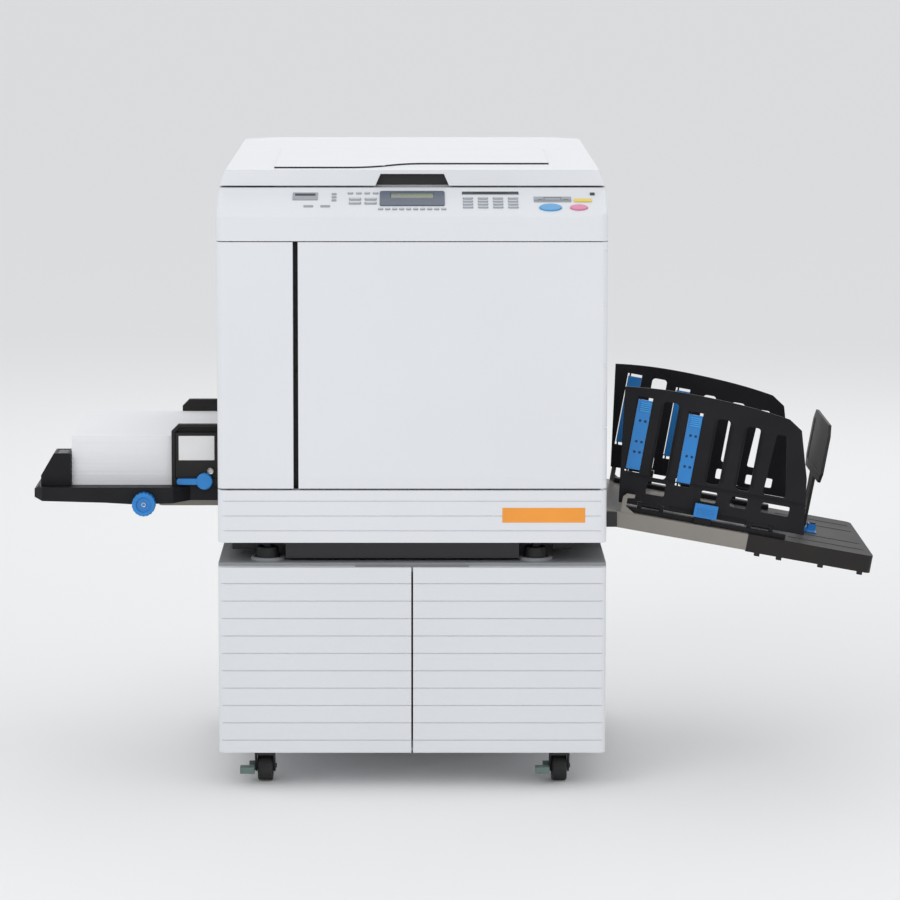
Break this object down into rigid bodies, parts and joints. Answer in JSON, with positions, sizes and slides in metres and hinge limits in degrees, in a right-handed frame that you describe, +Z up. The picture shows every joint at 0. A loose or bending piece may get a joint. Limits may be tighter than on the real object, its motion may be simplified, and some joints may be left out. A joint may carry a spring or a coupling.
{
  "type": "digital duplicator",
  "caption": "Floor-standing digital duplicator on a wheeled two-door cabinet, with a hinged platen cover, paper feed tray and fenced receiving tray",
  "frame": {"origin": "on the floor under the middle of the footprint, trays included", "axes": "+X from the feed tray to the receiving tray, +Y from the front to the back, +Z up"},
  "size_m": [1.4266, 0.6088, 1.059],
  "materials": {
    "white_shell": "fine-grained moulded",
    "stand_board": "smooth laminate",
    "stand_top_grey": "smooth laminate",
    "black_steel": "satin black",
    "bare_steel": "brushed",
    "warm_steel": "satin grey-brown",
    "black_plastic": "fine-grained",
    "dark_grey_plastic": "fine-grained",
    "grey_plastic": "fine-grained",
    "blue_plastic": "satin",
    "start_blue": "satin",
    "stop_pink": "satin",
    "key_grey": "satin film",
    "bezel": "satin",
    "glass": "clear",
    "pad_white": "soft film",
    "paper": "uncoated paper",
    "rubber": "matte",
    "ink": "smooth",
    "brake_grey": "satin"
  },
  "bodies": {
    "machine": {"stand_cabinet": "stand_board", "stand_top": "stand_top_grey", "machine_feet": "rubber", "chassis": "black_steel", "base_cover": "white_shell", "left_front_panel": "white_shell", "left_side_cover": "white_shell", "right_side_cover": "white_shell", "rear_cover": "white_shell", "scanner_housing": "white_shell", "platen_glass": "glass", "control_panel": "white_shell", "panel_display": "bezel", "panel_keys": "key_grey", "ink_bottle": "ink", "master_unit": "grey_plastic", "suction_unit": "black_plastic"},
    "front_cover": {"front_cover": "white_shell"},
    "platen_cover": {"platen_cover": "white_shell", "platen_pad": "pad_white"},
    "stand_door_left": {"stand_door_left": "stand_board"},
    "stand_door_right": {"stand_door_right": "stand_board"},
    "feed_carriage": {"feed_bracket": "warm_steel"},
    "feed_tray": {"feed_tray": "black_plastic", "paper_stack": "paper"},
    "front_feed_guide": {"front_feed_guide": "dark_grey_plastic"},
    "rear_feed_guide": {"rear_feed_guide": "dark_grey_plastic"},
    "guide_lock_lever": {"guide_lock_lever": "blue_plastic"},
    "feed_dial": {"feed_dial": "blue_plastic"},
    "feed_stopper": {"feed_stopper": "black_plastic"},
    "receiving_tray": {"receiving_base": "warm_steel", "receiving_tray": "dark_grey_plastic"},
    "front_fence_foot": {"front_fence_foot": "black_plastic"},
    "rear_fence_foot": {"rear_fence_foot": "black_plastic"},
    "front_fence": {"front_fence": "black_plastic"},
    "rear_fence": {"rear_fence": "black_plastic"},
    "front_fin_inner": {"front_fin_inner": "blue_plastic"},
    "front_fin_outer": {"front_fin_outer": "blue_plastic"},
    "rear_fin_inner": {"rear_fin_inner": "blue_plastic"},
    "rear_fin_outer": {"rear_fin_outer": "blue_plastic"},
    "end_stopper_foot": {"end_stopper_foot": "blue_plastic"},
    "end_stopper": {"end_stopper": "grey_plastic"},
    "scan_carriage": {"scan_carriage": "black_plastic"},
    "print_drum": {"print_drum": "bare_steel"},
    "pressure_roller": {"pressure_roller": "rubber"},
    "pickup_roller": {"pickup_roller": "rubber"},
    "disposal_box": {"disposal_box": "white_shell"},
    "start_key": {"start_key": "start_blue"},
    "stop_key": {"stop_key": "stop_pink"},
    "power_switch": {"power_switch": "black_plastic"},
    "caster_fork_front_left": {"caster_fork_front_left": "black_steel"},
    "caster_wheel_front_left": {"caster_wheel_front_left": "rubber"},
    "caster_fork_front_right": {"caster_fork_front_right": "black_steel"},
    "caster_wheel_front_right": {"caster_wheel_front_right": "rubber"},
    "caster_fork_rear_left": {"caster_fork_rear_left": "black_steel"},
    "caster_wheel_rear_left": {"caster_wheel_rear_left": "rubber"},
    "caster_fork_rear_right": {"caster_fork_rear_right": "black_steel"},
    "caster_wheel_rear_right": {"caster_wheel_rear_right": "rubber"},
    "caster_brake_left": {"caster_brake_left": "brake_grey"},
    "caster_brake_right": {"caster_brake_right": "brake_grey"}
  },
  "joints": [
    {"name": "front_cover_hinge", "type": "hinge", "parent": "machine", "child": "front_cover", "pos_m": [0.24373, -0.2944, 0.719], "axis": [0, 0, 1], "range_deg": [0, 100]},
    {"name": "platen_cover_hinge", "type": "hinge", "parent": "machine", "child": "platen_cover", "pos_m": [-0.07227, 0.2994, 1.011], "axis": [-1, 0, 0], "range_deg": [0, 70]},
    {"name": "stand_door_left_hinge", "type": "hinge", "parent": "machine", "child": "stand_door_left", "pos_m": [-0.39527, -0.2954, 0.2225], "axis": [0, 0, -1], "range_deg": [0, 95]},
    {"name": "stand_door_right_hinge", "type": "hinge", "parent": "machine", "child": "stand_door_right", "pos_m": [0.25073, -0.2954, 0.2225], "axis": [0, 0, 1], "range_deg": [0, 95]},
    {"name": "feed_tray_lift", "type": "slide", "parent": "machine", "child": "feed_carriage", "axis": [0, 0, 1], "range_m": [0, 0.105]},
    {"name": "feed_tray_side_shift", "type": "slide", "parent": "feed_carriage", "child": "feed_tray", "axis": [0, 1, 0], "range_m": [-0.008, 0.008]},
    {"name": "feed_dial_turn", "type": "hinge", "parent": "feed_tray", "child": "feed_dial", "pos_m": [-0.52627, -0.1944, 0.47], "axis": [0, 1, 0], "range_deg": [-150, 150]},
    {"name": "front_guide_slide", "type": "slide", "parent": "feed_tray", "child": "front_feed_guide", "axis": [0, -1, 0], "range_m": [0, 0.0065]},
    {"name": "rear_guide_slide", "type": "slide", "parent": "feed_tray", "child": "rear_feed_guide", "axis": [0, 1, 0], "range_m": [0, 0.0065]},
    {"name": "guide_lock_lever_turn", "type": "hinge", "parent": "front_feed_guide", "child": "guide_lock_lever", "pos_m": [-0.42527, -0.1644, 0.504], "axis": [0, 1, 0], "range_deg": [0, 60]},
    {"name": "feed_stopper_slide", "type": "slide", "parent": "feed_tray", "child": "feed_stopper", "axis": [-1, 0, 0], "range_m": [0, 0.009]},
    {"name": "receiving_tray_tilt", "type": "hinge", "parent": "machine", "child": "receiving_tray", "pos_m": [0.26408, -0.0044, 0.44262], "axis": [0, -1, 0], "range_deg": [0, 8]},
    {"name": "front_fence_slide", "type": "slide", "parent": "receiving_tray", "child": "front_fence_foot", "axis": [0, -1, 0], "range_m": [-0.09, 0.006]},
    {"name": "rear_fence_slide", "type": "slide", "parent": "receiving_tray", "child": "rear_fence_foot", "axis": [0, 1, 0], "range_m": [-0.09, 0.006]},
    {"name": "front_fence_fold", "type": "hinge", "parent": "front_fence_foot", "child": "front_fence", "pos_m": [0.43241, -0.1554, 0.44048], "axis": [-0.9839, 0, 0.1788], "range_deg": [0, 90]},
    {"name": "rear_fence_fold", "type": "hinge", "parent": "rear_fence_foot", "child": "rear_fence", "pos_m": [0.43492, 0.1466, 0.45426], "axis": [0.9839, 0, -0.1788], "range_deg": [0, 90]},
    {"name": "front_fin_inner_turn", "type": "hinge", "parent": "front_fence", "child": "front_fin_inner", "pos_m": [0.30495, -0.1554, 0.58358], "axis": [-0.1788, 0, -0.9839], "range_deg": [-20, 0]},
    {"name": "front_fin_outer_turn", "type": "hinge", "parent": "front_fence", "child": "front_fin_outer", "pos_m": [0.39072, -0.1554, 0.55783], "axis": [-0.1788, 0, -0.9839], "range_deg": [-20, 0]},
    {"name": "rear_fin_inner_turn", "type": "hinge", "parent": "rear_fence", "child": "rear_fin_inner", "pos_m": [0.30495, 0.1466, 0.58358], "axis": [0.1788, 0, 0.9839], "range_deg": [-20, 0]},
    {"name": "rear_fin_outer_turn", "type": "hinge", "parent": "rear_fence", "child": "rear_fin_outer", "pos_m": [0.39072, 0.1466, 0.55783], "axis": [0.1788, 0, 0.9839], "range_deg": [-20, 0]},
    {"name": "end_stopper_slide", "type": "slide", "parent": "receiving_tray", "child": "end_stopper_foot", "axis": [0.9839, 0, -0.1788], "range_m": [0, 0.08]},
    {"name": "end_stopper_fold", "type": "hinge", "parent": "end_stopper_foot", "child": "end_stopper", "pos_m": [0.60978, -0.0044, 0.39859], "axis": [0, -1, 0], "range_deg": [0, 90]},
    {"name": "scan_carriage_slide", "type": "slide", "parent": "machine", "child": "scan_carriage", "axis": [1, 0, 0], "range_m": [0, 0.38]},
    {"name": "print_drum_turn", "type": "hinge", "parent": "machine", "child": "print_drum", "pos_m": [-0.03227, -0.0044, 0.69], "axis": [0, 1, 0], "continuous": true},
    {"name": "pressure_roller_turn", "type": "hinge", "parent": "machine", "child": "pressure_roller", "pos_m": [-0.03227, -0.0044, 0.5697], "axis": [0, 1, 0], "continuous": true},
    {"name": "pickup_roller_turn", "type": "hinge", "parent": "machine", "child": "pickup_roller", "pos_m": [-0.26227, -0.0044, 0.7003], "axis": [0, 1, 0], "continuous": true},
    {"name": "disposal_box_slide", "type": "slide", "parent": "machine", "child": "disposal_box", "axis": [-1, 0, 0], "range_m": [0, 0.19]},
    {"name": "start_key_press", "type": "slide", "parent": "machine", "child": "start_key", "axis": [0, 0.389, -0.9212], "range_m": [0, 0.0015], "stiffness_N_per_m": 600, "springref_m": -0.0005},
    {"name": "stop_key_press", "type": "slide", "parent": "machine", "child": "stop_key", "axis": [0, 0.389, -0.9212], "range_m": [0, 0.0015], "stiffness_N_per_m": 600, "springref_m": -0.0005},
    {"name": "power_switch_rock", "type": "hinge", "parent": "machine", "child": "power_switch", "pos_m": [0.24673, -0.2364, 0.7], "axis": [0, 1, 0], "range_deg": [-6, 6]},
    {"name": "caster_swivel_front_left", "type": "hinge", "parent": "machine", "child": "caster_fork_front_left", "pos_m": [-0.32127, -0.2444, 0.055], "axis": [0, 0, 1], "continuous": true},
    {"name": "caster_wheel_turn_front_left", "type": "hinge", "parent": "caster_fork_front_left", "child": "caster_wheel_front_left", "pos_m": [-0.32127, -0.2264, 0.025], "axis": [1, 0, 0], "continuous": true},
    {"name": "caster_swivel_front_right", "type": "hinge", "parent": "machine", "child": "caster_fork_front_right", "pos_m": [0.17673, -0.2444, 0.055], "axis": [0, 0, 1], "continuous": true},
    {"name": "caster_wheel_turn_front_right", "type": "hinge", "parent": "caster_fork_front_right", "child": "caster_wheel_front_right", "pos_m": [0.17673, -0.2264, 0.025], "axis": [1, 0, 0], "continuous": true},
    {"name": "caster_swivel_rear_left", "type": "hinge", "parent": "machine", "child": "caster_fork_rear_left", "pos_m": [-0.32127, 0.2356, 0.055], "axis": [0, 0, 1], "continuous": true},
    {"name": "caster_wheel_turn_rear_left", "type": "hinge", "parent": "caster_fork_rear_left", "child": "caster_wheel_rear_left", "pos_m": [-0.32127, 0.2536, 0.025], "axis": [1, 0, 0], "continuous": true},
    {"name": "caster_swivel_rear_right", "type": "hinge", "parent": "machine", "child": "caster_fork_rear_right", "pos_m": [0.17673, 0.2356, 0.055], "axis": [0, 0, 1], "continuous": true},
    {"name": "caster_wheel_turn_rear_right", "type": "hinge", "parent": "caster_fork_rear_right", "child": "caster_wheel_rear_right", "pos_m": [0.17673, 0.2536, 0.025], "axis": [1, 0, 0], "continuous": true},
    {"name": "caster_brake_press_left", "type": "hinge", "parent": "caster_fork_front_left", "child": "caster_brake_left", "pos_m": [-0.32127, -0.2264, 0.025], "axis": [1, 0, 0], "range_deg": [0, 15]},
    {"name": "caster_brake_press_right", "type": "hinge", "parent": "caster_fork_front_right", "child": "caster_brake_right", "pos_m": [0.17673, -0.2264, 0.025], "axis": [1, 0, 0], "range_deg": [0, 15]}
  ],
  "couplings": [
    {"joint": "rear_guide_slide", "follows": "front_guide_slide", "ratio": 1},
    {"joint": "rear_fence_slide", "follows": "front_fence_slide", "ratio": 1},
    {"joint": "pressure_roller_turn", "follows": "print_drum_turn", "ratio": -3},
    {"joint": "feed_dial_turn", "follows": "feed_tray_side_shift", "rad_per_m": 327.24}
  ]
}
